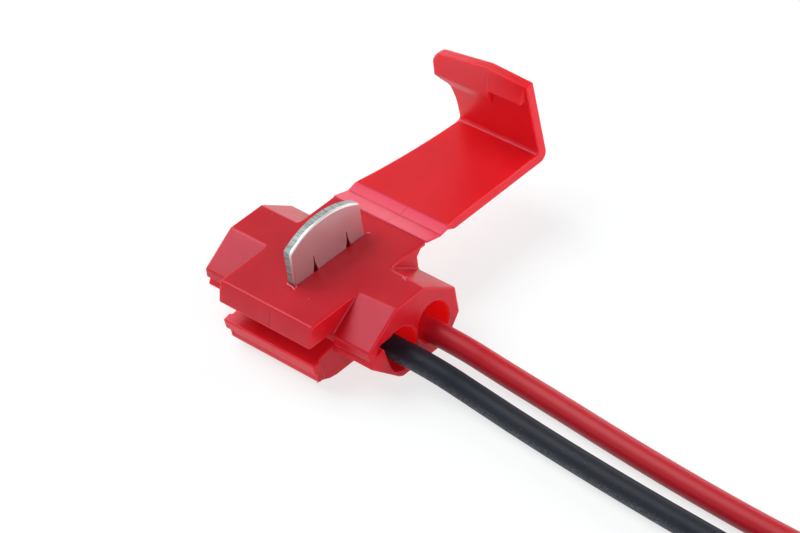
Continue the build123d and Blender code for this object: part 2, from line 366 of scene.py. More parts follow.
@dataclass(frozen=True)
class MouldedSurface:
    """Moulded polypropylene: cloudy colour, parting line, creased strap with a painted paler band
    and painted crease shade, and a painted glow in the bores.
    """

    name: str = "moulded_surface"
    strap: Band = Band(8.9, 1.6, 0.12)
    parting: Band = Band(0.8, 0.04, 0.08)
    creases: tuple[Band, Band] = (Band(9.28, 0.05, 0.16), Band(10.5, 0.04, 0.16))
    upright: Pair = (0.35, 0.6)
    strap_line: float = 0.6
    # line_shade and line_tint darken the parting line, a real seam mark, and paint shade into the
    # strap's creases.
    line_shade: float = 0.8
    line_tint: tuple = (0.68, 0.26, 0.3, 1)
    clouds: Mottle = Mottle(230.0, 2.0, 0.35, 0.7)
    cloud_share: float = 0.45
    patches: Mottle = Mottle(900.0, 2.0, 0.55, 0.8, strong=0.25)
    wear: Mottle = Mottle(1500.0, 2.0, 0.3, 0.8, strong=0.08)
    ripple: Grain = Grain(600.0, 2.0, 0.6)
    grain: Grain = Grain(5200.0, 2.0, 0.06)
    parting_depth: float = 0.6
    crease_depth: float = 0.15
    bore_rim_mm: float = 0.02
    bore_wall: Pair = (0.5, 0.8)

    def tree(self) -> bpy.types.NodeTree:
        """Builds the group.

        Returns:
            The node group.
        """
        tree = new_group(
            self.name,
            {
                "Deep": (0.5, 0.01, 0.02, 1),
                "Pale": (0.6, 0.05, 0.07, 1),
                "Thin": (0.8, 0.1, 0.16, 1),
                "Glow": (0.3, 0.0, 0.0, 1),
                "Seam": 1.0,
                "Strap": 0.0,
                "Near Bore": (0, 0, 0),
                "Far Bore": (0, 0, 0),
                "Bore Radius": 0.0,
                "Gloss": 0.35,
            },
            {
                "Color": Kind.COLOR,
                "Roughness": Kind.NUMBER,
                "Height": Kind.NUMBER,
                "Light": Kind.COLOR,
            },
        )
        g = NodeGraph(tree)
        source, sink = tree.nodes[0].outputs, tree.nodes[1].inputs
        coords = g.add("TexCoord").outputs
        place = coords["Object"]
        axes, normal = g.axes(place), g.axes(coords["Normal"])

        strap = g.times(g.band(axes["Y"], self.strap), source["Strap"])
        upright = g.ramp(normal["Z"], *self.upright, 1.0, 0.0)
        upright = g.times(upright, g.math("SUBTRACT", 1.0, source["Strap"]))
        marked = g.math("MAXIMUM", upright, g.times(strap, self.strap_line))
        seam = g.times(g.band(axes["X"], self.parting), marked, source["Seam"])
        # Painted shade: a dark line in the strap's crease grooves, where shade falls; the grooves
        # are also sunk in the relief.
        crease = g.math("MAXIMUM", *(g.band(axes["Y"], stripe) for stripe in self.creases))
        crease = g.times(crease, source["Strap"], self.strap_line)

        clouds = g.times(g.mottle(place, self.clouds), self.cloud_share)
        mask = g.math("ADD", clouds, g.mottle(place, self.patches), clamp=True)
        tint = g.mix(mask, source["Deep"], source["Pale"])
        # Painted light: the paler Thin pink on the strap's band stands in for light through the
        # thin strap and for its highlights.
        tint = g.mix(strap, tint, source["Thin"])
        # Darkens the parting line, a real seam mark, and the painted crease shade.
        line = g.times(g.math("MAXIMUM", seam, crease), self.line_shade)
        g.link(g.mix(line, tint, self.line_tint, "MULTIPLY"), sink["Color"])
        wear = g.mottle(place, self.wear)
        g.link(g.math("ADD", source["Gloss"], wear, clamp=True), sink["Roughness"])

        raised = g.math("ADD", g.grain(place, self.ripple), g.grain(place, self.grain))
        sunk = g.math("ADD", g.times(seam, self.parting_depth), g.times(crease, self.crease_depth))
        g.link(g.math("SUBTRACT", raised, sunk), sink["Height"])

        # Painted glow: emission on the bore walls stands in for light that comes through the
        # translucent plastic.
        flat = g.add("CombineXYZ")
        for axis in ("Y", "Z"):
            g.link(axes[axis], flat.inputs[axis])
        rim = g.math("ADD", source["Bore Radius"], self.bore_rim_mm * MM)
        bores = [g.inside(flat.outputs[0], source[end + " Bore"], rim) for end in ("Near", "Far")]
        wall = g.ramp(g.math("ABSOLUTE", normal["X"]), *self.bore_wall, 1.0, 0.0)
        glow = g.times(g.math("MAXIMUM", *bores), wall)
        g.link(g.mix(glow, BLACK, source["Glow"]), sink["Light"])
        return tree


@dataclass(frozen=True)
class ScuffedInsulation:
    """Dust and fine scuffs along an insulated wire."""

    name: str = "scuffed_insulation"
    dusty: Pair = (0.6, 0.88)
    stretch: Triple = (0.45, 1.6, 1.6)
    streaks: Mottle = Mottle(6800.0, 4.0, 0.42, 0.7)
    haze: Mottle = Mottle(320.0, 2.0, 0.3, 0.7, faint=0.3)
    specks: Mottle = Mottle(5200.0, 3.0, 0.66, 0.74)
    speck_share: float = 0.25
    dust_dullness: float = 0.4
    grain: Grain = Grain(2600.0, 3.0, 1.0)

    def tree(self) -> bpy.types.NodeTree:
        """Builds the group.

        Returns:
            The node group.
        """
        tree = new_group(
            self.name,
            {
                "Jacket": (0.02, 0.02, 0.02, 1),
                "Dust": (0.3, 0.3, 0.3, 1),
                "Dust Side": (0, 0, 0),
                "Amount": 0.3,
                "Gloss": 0.45,
            },
            {"Color": Kind.COLOR, "Roughness": Kind.NUMBER, "Height": Kind.NUMBER},
        )
        g = NodeGraph(tree)
        source, sink = tree.nodes[0].outputs, tree.nodes[1].inputs
        coords = g.add("TexCoord").outputs
        place = coords["Object"]
        drawn_out = g.stretched(place, self.stretch)

        facing = g.add("VectorMath", operation="DOT_PRODUCT")
        g.link(coords["Normal"], facing.inputs[0])
        g.link(source["Dust Side"], facing.inputs[1])
        side = g.ramp(facing.outputs["Value"], *self.dusty, 0.0, 1.0)
        streaks = g.times(g.mottle(drawn_out, self.streaks), side, g.mottle(place, self.haze))
        specks = g.times(g.mottle(place, self.specks), self.speck_share)
        dust = g.math("MAXIMUM", streaks, specks)
        dust = g.math("MULTIPLY", dust, source["Amount"], clamp=True)

        g.link(g.mix(dust, source["Jacket"], source["Dust"]), sink["Color"])
        dull = g.times(dust, self.dust_dullness)
        g.link(g.math("ADD", source["Gloss"], dull, clamp=True), sink["Roughness"])
        g.link(g.grain(drawn_out, self.grain), sink["Height"])
        return tree


@dataclass(frozen=True)
class StampedPlate:
    """Plating with the burnished and the torn band of a stamped edge, a face tinted pink with a
    painted reflection of the red housing, and slits painted deep red.
    """

    name: str = "stamped_plate"
    edge_turn: Pair = (0.55, 0.8)
    torn_mm: Pair = (0.16, 0.26)
    wander_scale: float = 900.0
    wander_detail: float = 3.0
    wander_mm: float = 0.35
    stripe_stretch: Triple = (0.15, 1.0, 1.0)
    stripe_scale: float = 4200.0
    stripe_detail: float = 2.0
    stripe_span: tuple[float, float, float, float] = (0.3, 0.7, 0.55, 1.0)
    stripe_depth: float = 1.2
    torn_dullness: float = 0.75
    torn_roughness: float = 0.18
    blotches: Mottle = Mottle(700.0, 4.0, 0.3, 0.75, faint=0.36, strong=0.44)
    grain: Grain = Grain(2400.0, 1.0, 0.2)

    def tree(self) -> bpy.types.NodeTree:
        """Builds the group.

        Returns:
            The node group.
        """
        tree = new_group(
            self.name,
            {
                "Plate": (0.76, 0.78, 0.76, 1),
                # Face: pink tint in the plating colour, a painted reflection of the red housing.
                "Face": (0.66, 0.48, 0.5, 1),
                "Torn": (0.17, 0.215, 0.205, 1),
                # Slit: deep red painted on the slits' shaded walls, a painted reflection of the
                # housing's red.
                "Slit": (0.3, 0.008, 0.02, 1),
                "Slit Top": 9.4 * MM,
                "Slit Reach": 4.0 * MM,
                "Shine": 0.9,
            },
            {
                "Color": Kind.COLOR,
                "Roughness": Kind.NUMBER,
                "Height": Kind.NUMBER,
                "Metallic": Kind.NUMBER,
            },
        )
        g = NodeGraph(tree)
        source, sink = tree.nodes[0].outputs, tree.nodes[1].inputs
        coords = g.add("TexCoord").outputs
        place = coords["Object"]
        axes, normal = g.axes(place), g.axes(coords["Normal"])

        on_edge = g.ramp(g.math("ABSOLUTE", normal["X"]), *self.edge_turn, 1.0, 0.0)
        # Slit mask: the slits' walls, painted deep red as a reflection of the housing.
        below = g.math("LESS_THAN", axes["Z"], source["Slit Top"])
        beside = g.math("LESS_THAN", g.math("ABSOLUTE", axes["Y"]), source["Slit Reach"])
        slit = g.times(below, beside, on_edge)

        wander = g.noise(place, self.wander_scale, self.wander_detail)
        wander = g.times(g.math("SUBTRACT", wander, 0.5), self.wander_mm * MM)
        start, end = (edge * MM for edge in self.torn_mm)
        torn = g.ramp(g.math("ADD", axes["X"], wander), start, end, 1.0, 0.0)
        torn = g.times(torn, on_edge, g.math("SUBTRACT", 1.0, slit))
        lines = g.stretched(place, self.stripe_stretch)
        lines = g.noise(lines, self.stripe_scale, self.stripe_detail)
        torn_mask = g.times(torn, g.ramp(lines, *self.stripe_span))

        # The face's pink tint is a painted reflection of the red plastic.
        tint = g.mix(on_edge, source["Face"], source["Plate"])
        tint = g.mix(torn_mask, tint, source["Torn"])
        g.link(g.mix(slit, tint, source["Slit"]), sink["Color"])
        dull = g.math("ADD", g.times(torn_mask, self.torn_dullness), slit, clamp=True)
        g.link(g.times(source["Shine"], g.math("SUBTRACT", 1.0, dull)), sink["Metallic"])
        rough = g.times(torn, self.torn_roughness)
        rough = g.math("ADD", g.mottle(place, self.blotches), rough, clamp=True)
        g.link(rough, sink["Roughness"])
        stripes = g.times(lines, torn, self.stripe_depth)
        g.link(g.math("ADD", g.grain(place, self.grain), stripes), sink["Height"])
        return tree


# Finishes


@dataclass(frozen=True)
class Finish:
    """A surface: its group with the group's values, and the constants of its shader."""

    name: str
    group: str
    values: dict[str, object]
    constants: dict[str, object]
    relief_mm: float

    def material(self, groups: dict[str, bpy.types.NodeTree]) -> bpy.types.Material:
        """Builds the material.

        Args:
            groups: the shader node groups by name.

        Returns:
            The new material.
        """
        made = bpy.data.materials.new(self.name)
        made.use_nodes = True
        g = NodeGraph(made.node_tree)
        shader = made.node_tree.nodes["Principled BSDF"]
        pattern = g.add("Group")
        pattern.node_tree = groups[self.group]
        for label, value in self.values.items():
            pattern.inputs[label].default_value = value
        for label, value in self.constants.items():
            shader.inputs[label].default_value = value
        for feed in Feed:
            label, socket = feed.value
            if label in pattern.outputs:
                g.link(pattern.outputs[label], shader.inputs[socket])
        bump = g.add("Bump")
        g.link(self.relief_mm * MM, bump.inputs["Distance"])
        g.link(pattern.outputs["Height"], bump.inputs["Height"])
        g.link(bump.outputs["Normal"], shader.inputs["Normal"])
        return made


def plastic(name: str, deep: Triple, pale: Triple, depth_mm: float, **values: object) -> Finish:
    """Moulded red polypropylene of a given depth of colour.

    Args:
        name: the finish's name.
        deep: its main colour.
        pale: the colour of its cloudy patches.
        depth_mm: how far light spreads in it.
        values: other inputs of the moulded surface, with underscores for spaces.

    Returns:
        The finish.
    """
    chosen = {"Deep": (*deep, 1), "Pale": (*pale, 1), "Gloss": 0.31}
    chosen.update({key.replace("_", " "): value for key, value in values.items()})
    return Finish(
        name=name,
        group="moulded_surface",
        values=chosen,
        constants={
            "Subsurface Weight": 0.75,
            "Subsurface Radius": (1.0, 0.2, 0.26),
            "Subsurface Scale": depth_mm * MM,
            "Specular IOR Level": 0.4,
            "Specular Tint": (1.0, 0.7, 0.94, 1),
            # Strength of the painted glow, which Glow colours.
            "Emission Strength": 1.0,
            "IOR": 1.49,
        },
        relief_mm=0.025,
    )


FINISHES = {
    "housing": plastic(
        "red_housing_plastic",
        deep=(0.52, 0.004, 0.01),
        pale=(0.6, 0.01, 0.018),
        depth_mm=1.2,
        # Painted glow in the housing's bores: light through the walls painted as emission.
        Near_Bore=(0, -1.95 * MM, 3.25 * MM),
        Far_Bore=(0, 2.5 * MM, 3.25 * MM),
        Bore_Radius=2.05 * MM,
        Glow=(0.32, 0.002, 0.002, 1),
    ),
    "jaw": plastic(
        "red_jaw_plastic",
        deep=(0.52, 0.005, 0.012),
        pale=(0.6, 0.012, 0.02),
        depth_mm=1.2,
        # Painted glow on the jaw: a radius wider than its bore spreads painted light past it.
        Near_Bore=(0, -2.08 * MM, 2.32 * MM),
        Far_Bore=(0, -6.2 * MM, 2.2 * MM),
        Bore_Radius=2.8 * MM,
        Glow=(0.11, 0.001, 0.002, 1),
    ),
    "cover": plastic(
        "red_cover_plastic",
        # Painted light: the cover's brighter red than the housing stands in for light through its
        # thin panel.
        deep=(0.66, 0.005, 0.01),
        pale=(0.72, 0.012, 0.018),
        depth_mm=1.8,
        Strap=1.0,
        # Thin: the strap band's paler pink, painted light through the thin strap and its
        # highlights.
        Thin=(0.74, 0.04, 0.085, 1),
    ),
    "web": plastic(
        "red_web_plastic",
        deep=(0.8, 0.05, 0.09),
        pale=(0.82, 0.1, 0.15),
        depth_mm=1.0,
        Seam=0.0,
    ),
    "flash": plastic(
        "pale_flash_plastic",
        deep=(0.76, 0.14, 0.21),
        pale=(0.82, 0.26, 0.34),
        depth_mm=0.3,
        Seam=0.0,
    ),
    "blade": Finish(
        name="tin_plated_blade",
        group="stamped_plate",
        values={},
        constants={},
        relief_mm=0.012,
    ),
    "red_wire": Finish(
        name="red_insulation",
        group="scuffed_insulation",
        values={
            "Jacket": (0.5, 0.008, 0.02, 1),
            "Dust": (0.75, 0.3, 0.32, 1),
            "Amount": 0.25,
            "Gloss": 0.42,
        },
        constants={
            "IOR": 1.5,
            "Specular IOR Level": 0.3,
            "Subsurface Weight": 0.6,
            "Subsurface Radius": (1.0, 0.18, 0.22),
            "Subsurface Scale": 0.7 * MM,
        },
        relief_mm=0.01,
    ),
    "black_wire": Finish(
        name="black_insulation",
        group="scuffed_insulation",
        values={
            "Jacket": (0.0105, 0.014, 0.023, 1),
            "Dust": (0.4, 0.44, 0.5, 1),
            "Dust Side": (0.0, -0.85, -0.3),
            "Amount": 0.42,
            "Gloss": 0.48,
        },
        constants={"IOR": 1.5, "Specular IOR Level": 0.22},
        relief_mm=0.012,
    ),
    "copper": Finish(
        name="bare_copper",
        group="stamped_plate",
        values={
            "Plate": (0.78, 0.36, 0.2, 1),
            "Face": (0.78, 0.36, 0.2, 1),
            "Torn": (0.55, 0.25, 0.14, 1),
            "Slit Reach": 0.0,
            "Shine": 1.0,
        },
        constants={},
        relief_mm=0.004,
    ),
}


# Meshes


def paint(piece: bpy.types.Object, material: bpy.types.Material) -> None:
    """Gives a piece one material."""
    piece.data.materials.clear()
    piece.data.materials.append(material)


def new_object(name: str, data: bpy.types.ID) -> bpy.types.Object:
    """Links a new object at the origin.

    Args:
        name: its name.
        data: its mesh, curve, lamp or camera.

    Returns:
        The object.
    """
    made = bpy.data.objects.new(name, data)
    bpy.context.scene.collection.objects.link(made)
    return made


def piece_from(
    cage: bmesh.types.BMesh, name: str, material: bpy.types.Material
) -> bpy.types.Object:
    """Makes a painted piece of a mesh, and frees the mesh.

    Args:
        cage: the mesh.
        name: the piece's name.
        material: its material.

    Returns:
        The piece.
    """
    mesh = bpy.data.meshes.new(name)
    cage.to_mesh(mesh)
    cage.free()
    piece = new_object(name, mesh)
    paint(piece, material)
    return piece


def skin(cage: bmesh.types.BMesh, rings: list[list[bmesh.types.BMVert]]) -> None:
    """Joins rings of vertices into one closed shell that faces outward.

    Args:
        cage: the mesh that holds them.
        rings: the rings in order, all with the same number of vertices.
    """
    for near, far in zip(rings, rings[1:]):
        for index in range(len(near)):
            cage.faces.new((near[index - 1], near[index], far[index], far[index - 1]))
    cage.faces.new(rings[0])
    cage.faces.new(list(reversed(rings[-1])))
    bmesh.ops.recalc_face_normals(cage, faces=cage.faces)


def settled(piece: bpy.types.Object) -> None:
    """Turns a piece's modifiers into plain mesh.

    Args:
        piece: the piece.
    """
    graph = bpy.context.evaluated_depsgraph_get()
    mesh = bpy.data.meshes.new_from_object(piece.evaluated_get(graph))
    piece.modifiers.clear()
    piece.data = mesh


def smooth_faces(piece: bpy.types.Object) -> None:
    """Shades a piece's faces smooth."""
    for face in piece.data.polygons:
        face.use_smooth = True


def keep_flats_even(piece: bpy.types.Object) -> None:
    """Weights a piece's normals by area, so that its flat faces shade evenly.

    Args:
        piece: the piece.
    """
    smooth_faces(piece)
    shade = piece.modifiers.new("flats", "WEIGHTED_NORMAL")
    shade.mode = "FACE_AREA"
    shade.weight = 100
    shade.keep_sharp = False


def merged_copy(node: str, flat_deg: float) -> bmesh.types.BMesh:
    """A solid's mesh with its doubles merged and its flat faces joined.

    Args:
        node: the solid's name.
        flat_deg: the widest angle at which two faces count as one flat.

    Returns:
        The merged mesh, which the caller frees.
    """
    cage = bmesh.new()
    cage.from_mesh(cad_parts[node].data)
    bmesh.ops.remove_doubles(cage, verts=cage.verts, dist=MERGE_MM * MM)
    flat = math.radians(flat_deg)
    bmesh.ops.dissolve_limit(cage, angle_limit=flat, verts=cage.verts, edges=cage.edges)
    return cage


# The moulding and its blade


@dataclass(frozen=True)
class EdgeRound:
    """A rounding for the edges that lie inside a box, in millimetres."""

    width_mm: float
    low: Triple
    high: Triple
    slack_mm: float = 0.01

    def holds(self, edge: bmesh.types.BMEdge) -> bool:
        """Whether both ends of an edge lie in the box.

        Args:
            edge: the edge.

        Returns:
            True where they do.
        """
        return all(
            low - self.slack_mm <= value / MM <= high + self.slack_mm
            for vert in edge.verts
            for value, low, high in zip(vert.co, self.low, self.high)
        )


@dataclass
class MouldedPart:
    """A section of the moulding that takes its form from a solid and gets soft edges."""

    node: str
    body: str
    slot: str
    finish: str
    edge_mm: float = 0.2
    segments: int = 4
    crease_deg: float = 24.0
    flat_deg: float = 0.6
    rounds: tuple[EdgeRound, ...] = ()

    def mark_edges(self, cage: bmesh.types.BMesh) -> float:
        """Gives every sharp edge its rounding as a bevel weight.

        Args:
            cage: the merged solid.

        Returns:
            The widest rounding, in millimetres, which has the weight 1.
        """
        widest = max([self.edge_mm] + [rule.width_mm for rule in self.rounds])
        weights = cage.edges.layers.float.new("bevel_weight_edge")
        for edge in cage.edges:
            if len(edge.link_faces) != 2 or edge.calc_face_angle() < math.radians(self.crease_deg):
                continue
            width = self.edge_mm
            for rule in self.rounds:
                if rule.holds(edge):
                    width = rule.width_mm
            edge[weights] = width / widest
        return widest

    def build(self, materials: dict[str, bpy.types.Material]) -> bpy.types.Object:
        """Copies the solid, merges it and rounds its edges.

        Args:
            materials: the materials by finish.

        Returns:
            The piece, which replaces the solid.
        """
        cage = merged_copy(self.node, self.flat_deg)
        widest = self.mark_edges(cage)
        piece = piece_from(cage, "soft_" + self.node, materials[self.finish])
        bevel = piece.modifiers.new("edges", "BEVEL")
        bevel.width = widest * MM
        bevel.segments = self.segments
        bevel.limit_method = "WEIGHT"
        bevel.use_clamp_overlap = False
        bevel.miter_outer = "MITER_ARC"
        keep_flats_even(piece)
        settled(piece)
        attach(piece, self.body)
        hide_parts(self.node)
        return piece


@dataclass
class ContactBlade:
    """The slotted plate: its stamped outline, rolled over at the front and torn at the back."""

    node: str = "contact_blade"
    half_thickness_mm: float = 0.5
    crown_height_mm: float = 11.0
    end_y_mm: float = 4.5
    crown_roll_mm: float = 0.14
    end_roll_mm: float = 0.07
    slit_roll_mm: float = 0.02
    back_burr_mm: float = 0.04
    flat_deg: float = 0.6
    front_steps: int = 6
    back_steps: int = 2
    tightest_inset: float = 0.5
    front_facing: float = 0.99

    def outline(self) -> list[Vector]:
        """The corners of the plate's front face, read from the solid.

        Returns:
            The corners as (0, y, z), in order around the face.
        """
        cage = merged_copy(self.node, self.flat_deg)
        facing_front = (face for face in cage.faces if face.normal.x > self.front_facing)
        front = max(facing_front, key=lambda face: face.calc_area())
        corners = [Vector((0, vert.co.y, vert.co.z)) for vert in front.verts]
        cage.free()
        return corners

    def roll(self, corner: Vector) -> float:
        """How far the front edge is rolled over at a corner.

        Args:
            corner: the corner of the outline.

        Returns:
            The radius, in metres.
        """
        if corner.z > self.crown_height_mm * MM:
            return self.crown_roll_mm * MM
        at_end = abs(corner.y) > self.end_y_mm * MM
        return (self.end_roll_mm if at_end else self.slit_roll_mm) * MM

    def inward(self, corners: list[Vector], index: int) -> Vector:
        """The direction from a corner into the plate, as long as a unit inset needs.

        Args:
            corners: the outline.
            index: which corner.

        Returns:
            The inset of the corner for an edge inset of 1.
        """
        here = corners[index]
        before = (here - corners[index - 1]).normalized()
        after = (corners[(index + 1) % len(corners)] - here).normalized()
        sides = [Vector((0, -edge.z, edge.y)) for edge in (before, after)]
        middle = (sides[0] + sides[1]).normalized()
        return middle / max(middle.dot(sides[0]), self.tightest_inset)

    def ring(
        self, cage: bmesh.types.BMesh, corners: list[Vector], side: int, share: float
    ) -> list[bmesh.types.BMVert]:
        """One ring of vertices around the plate.

        Args:
            cage: the mesh that takes them.
            corners: the outline.
            side: 1 for the rolled front edge, -1 for the burr at the back.
            share: 0 at the flat face and 1 at the edge.

        Returns:
            The vertices, in the outline's order.
        """
        turn = share * math.pi / 2
        ring = []
        for index, corner in enumerate(corners):
            radius = self.roll(corner)
            if side < 0:
                radius = min(self.back_burr_mm * MM, radius)
            place = corner + self.inward(corners, index) * radius * (1 - math.sin(turn))
            place.x = side * (self.half_thickness_mm * MM - radius * (1 - math.cos(turn)))
            ring.append(cage.verts.new(place))
        return ring

    def build(self, materials: dict[str, bpy.types.Material]) -> bpy.types.Object:
        """Builds the plate.

        Args:
            materials: the materials by finish.

        Returns:
            The piece, which replaces the solid.
        """
        corners = self.outline()
        cage = bmesh.new()
        front = [step / self.front_steps for step in range(self.front_steps + 1)]
        back = [step / self.back_steps for step in range(self.back_steps, -1, -1)]
        rings = [self.ring(cage, corners, 1, share) for share in front]
        rings += [self.ring(cage, corners, -1, share) for share in back]
        skin(cage, rings)
        piece = piece_from(cage, "soft_" + self.node, materials["blade"])
        keep_flats_even(piece)
        settled(piece)
        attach(piece, "blade")
        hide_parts(self.node)
        return piece


@dataclass
class HingeWeb:
    """A thin web of the moulding that bends between two sections."""

    name: str
    fixed: str
    moving: str
    y_mm: Pair
    top_mm: Pair
    bottom_mm: Pair
    x_mm: Pair
    bend_mm: tuple[Triple, Triple]
    waist_mm: float = 0.04
    edge_mm: float = 0.05
    steps: int = 12

    def section(self, share: float) -> list[Triple]:
        """The corners of the web's section at one place.

        Args:
            share: 0 at the fixed section and 1 at the moving one.

        Returns:
            The corners, in millimetres, in order around the section.
        """
        y, top, bottom = (
            start + share * (end - start) for start, end in (self.y_mm, self.top_mm, self.bottom_mm)
        )
        waist = self.waist_mm * math.sin(math.pi * share)
        top, bottom = top - waist, bottom + waist
        middle = (top + bottom) / 2
        left, right = self.x_mm
        inner_left, inner_right = left + self.edge_mm, right - self.edge_mm
        return [
            (left, y, middle), (inner_left, y, bottom), (inner_right, y, bottom),
            (right, y, middle), (inner_right, y, top), (inner_left, y, top),
        ]

    def build(self, materials: dict[str, bpy.types.Material]) -> bpy.types.Object:
        """Builds the web as a closed sheet.

        Args:
            materials: the materials by finish.

        Returns:
            The piece.
        """
        cage = bmesh.new()
        rings = []
        for step in range(self.steps + 1):
            section = self.section(step / self.steps)
            rings.append([cage.verts.new((x * MM, y * MM, z * MM)) for x, y, z in section])
        skin(cage, rings)
        piece = piece_from(cage, self.name, materials["web"])
        keep_flats_even(piece)
        settled(piece)
        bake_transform(piece)
        return piece


@dataclass
class MouldingBlemish:
    """A small bead of plastic left on the moulding, such as a burr or the mark of the gate."""

    name: str
    spine_mm: list[Triple]
    thick_mm: float
    seed: int
    body: str = "housing"
    sides: int = 8
    end_share: float = 0.35
    thick_spread: Pair = (0.75, 1.2)
    lump_spread: Pair = (0.85, 1.15)
    smoothing: int = 2

    def build(self, materials: dict[str, bpy.types.Material]) -> bpy.types.Object:
        """Builds the bead along its spine with uneven thickness.

        Args:
            materials: the materials by finish.

        Returns:
            The piece.
        """
        chance = random.Random(self.seed)
        spine = [Vector(point) * MM for point in self.spine_mm]
        up = Vector((0, 0, 1))
        across = (spine[-1] - spine[0]).normalized().cross(up).normalized()
        cage = bmesh.new()
        rings = []
        for index, centre in enumerate(spine):
            share = self.end_share if index in (0, len(spine) - 1) else 1.0
            radius = self.thick_mm / 2 * MM * share * chance.uniform(*self.thick_spread)
            ring = []
            for side in range(self.sides):
                turn = 2 * math.pi * side / self.sides
                lump = radius * chance.uniform(*self.lump_spread)
                place = centre + across * math.cos(turn) * lump + up * math.sin(turn) * lump
                ring.append(cage.verts.new(place))
            rings.append(ring)
        skin(cage, rings)
        piece = piece_from(cage, self.name, materials["flash"])
        smooth = piece.modifiers.new("smooth", "SUBSURF")
        smooth.levels = smooth.render_levels = self.smoothing
        smooth_faces(piece)
        settled(piece)
        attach(piece, self.body)
        return piece


# Wires


@dataclass(frozen=True)
class StrandLayUp:
    """Geometry nodes that lay up round strands in two rings, with a twist."""

    name: str = "strand_lay_up"
    stations: int = 17
    sides: int = 10

    def sockets(self, tree: bpy.types.NodeTree) -> None:
        """Gives the tree its inputs and its output.

        Args:
            tree: the new tree.
        """
        inputs = {"Geometry": Kind.SHAPE}
        for label in ("Length", "Outer Radius", "Inner Radius", "Strand Radius", "Turns"):
            inputs[label] = Kind.NUMBER
        for label in ("Outer Count", "Inner Count"):
            inputs[label] = Kind.COUNT
        inputs["Metal"] = Kind.MATERIAL
        for label, kind in inputs.items():
            tree.interface.new_socket(label, in_out="INPUT", socket_type=kind.value)
        tree.interface.new_socket("Geometry", in_out="OUTPUT", socket_type=Kind.SHAPE.value)

    def tree(self) -> bpy.types.NodeTree:
        """Builds the tree. Strands run from the origin along +Z.

        Returns:
            The tree, with its sizes as named inputs.
        """
        tree = bpy.data.node_groups.new(self.name, "GeometryNodeTree")
        self.sockets(tree)
        g = NodeGraph(tree)
        source = tree.nodes.new("NodeGroupInput").outputs
        sink = tree.nodes.new("NodeGroupOutput").inputs

        end = g.add("CombineXYZ")
        g.link(source["Length"], end.inputs["Z"])
        line = g.add("GeometryNodeCurvePrimitiveLine")
        g.link(end.outputs[0], line.inputs["End"])
        strand = g.add("GeometryNodeResampleCurve")
        g.link(line.outputs[0], strand.inputs["Curve"])
        g.link(self.stations, strand.inputs["Count"])

        rings = g.add("GeometryNodeJoinGeometry")
        for ring in ("Outer", "Inner"):
            circle = g.add("GeometryNodeMeshCircle")
            g.link(source[ring + " Count"], circle.inputs["Vertices"])
            g.link(source[ring + " Radius"], circle.inputs["Radius"])
            g.link(circle.outputs[0], rings.inputs[0])
        laid = g.add("GeometryNodeInstanceOnPoints")
        g.link(rings.outputs[0], laid.inputs["Points"])
        g.link(strand.outputs[0], laid.inputs["Instance"])
        loose = g.add("GeometryNodeRealizeInstances")
        g.link(laid.outputs[0], loose.inputs[0])

        place = g.add("GeometryNodeInputPosition").outputs[0]
        share = g.math("DIVIDE", g.axes(place)["Z"], source["Length"])
        twist = g.add("VectorRotate", rotation_type="Z_AXIS")
        g.link(place, twist.inputs["Vector"])
        g.link(g.times(share, source["Turns"], 2 * math.pi), twist.inputs["Angle"])
        moved = g.add("GeometryNodeSetPosition")
        g.link(loose.outputs[0], moved.inputs["Geometry"])
        g.link(twist.outputs[0], moved.inputs["Position"])

        profile = g.add("GeometryNodeCurvePrimitiveCircle")
        g.link(self.sides, profile.inputs["Resolution"])
        g.link(source["Strand Radius"], profile.inputs["Radius"])
        tubes = g.add("GeometryNodeCurveToMesh")
        g.link(True, tubes.inputs["Fill Caps"])
        g.link(moved.outputs[0], tubes.inputs["Curve"])
        g.link(profile.outputs[0], tubes.inputs["Profile Curve"])
        real = g.add("GeometryNodeRealizeInstances")
        g.link(tubes.outputs[0], real.inputs[0])
        metal = g.add("GeometryNodeSetMaterial")
        g.link(real.outputs[0], metal.inputs["Geometry"])
        g.link(source["Metal"], metal.inputs["Material"])
        g.link(metal.outputs[0], sink[0])
        return tree


